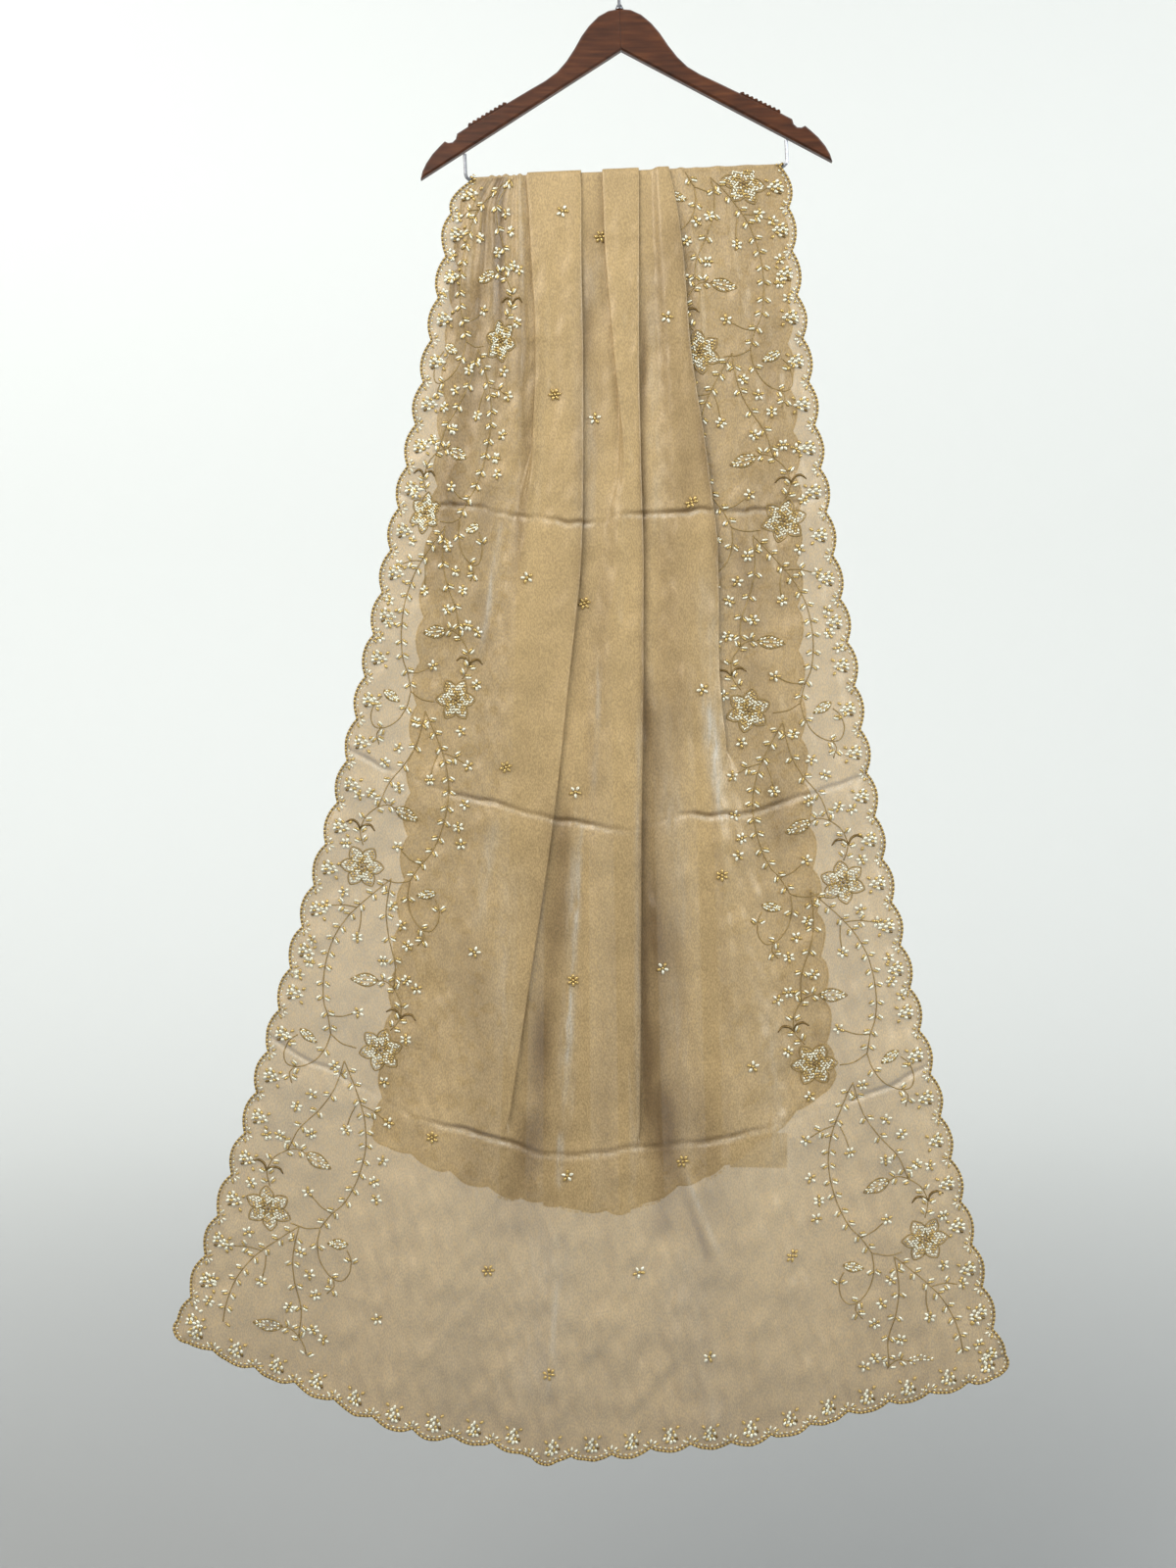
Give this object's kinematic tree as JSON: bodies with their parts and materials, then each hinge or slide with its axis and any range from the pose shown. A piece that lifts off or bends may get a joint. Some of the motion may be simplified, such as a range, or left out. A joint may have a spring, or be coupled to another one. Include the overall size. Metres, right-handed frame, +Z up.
{
  "type": "embroidered dupatta stole on a wooden hanger with a wire trouser bar",
  "caption": "Sheer embroidered stole with a scalloped edge, folded over the wire bar of a wooden hanger so that it hangs pleated in front and behind.",
  "frame": {"origin": "seat of the hook: the inside top of its bend, where a rail carries it", "axes": "+Z up, +X to the right as seen from the front, the front faces -Y"},
  "size_m": [0.891, 0.0434, 1.6366],
  "materials": {
    "organza": "sheer satin weave with metal-thread and bead embroidery",
    "label": "bare woven satin",
    "wood": "varnished",
    "steel": "bright plated wire"
  },
  "bodies": {
    "root": {"stole_front_fall": "organza", "stole_bar_turn": "organza", "stole_back_fall": "organza", "care_label": "label", "hanger_arm_left": "wood", "hanger_arm_right": "wood", "hanger_grip_left": "wood", "hanger_grip_right": "wood", "hanger_bar": "steel", "hanger_hook": "steel", "hanger_collar": "steel"}
  },
  "joints": []
}
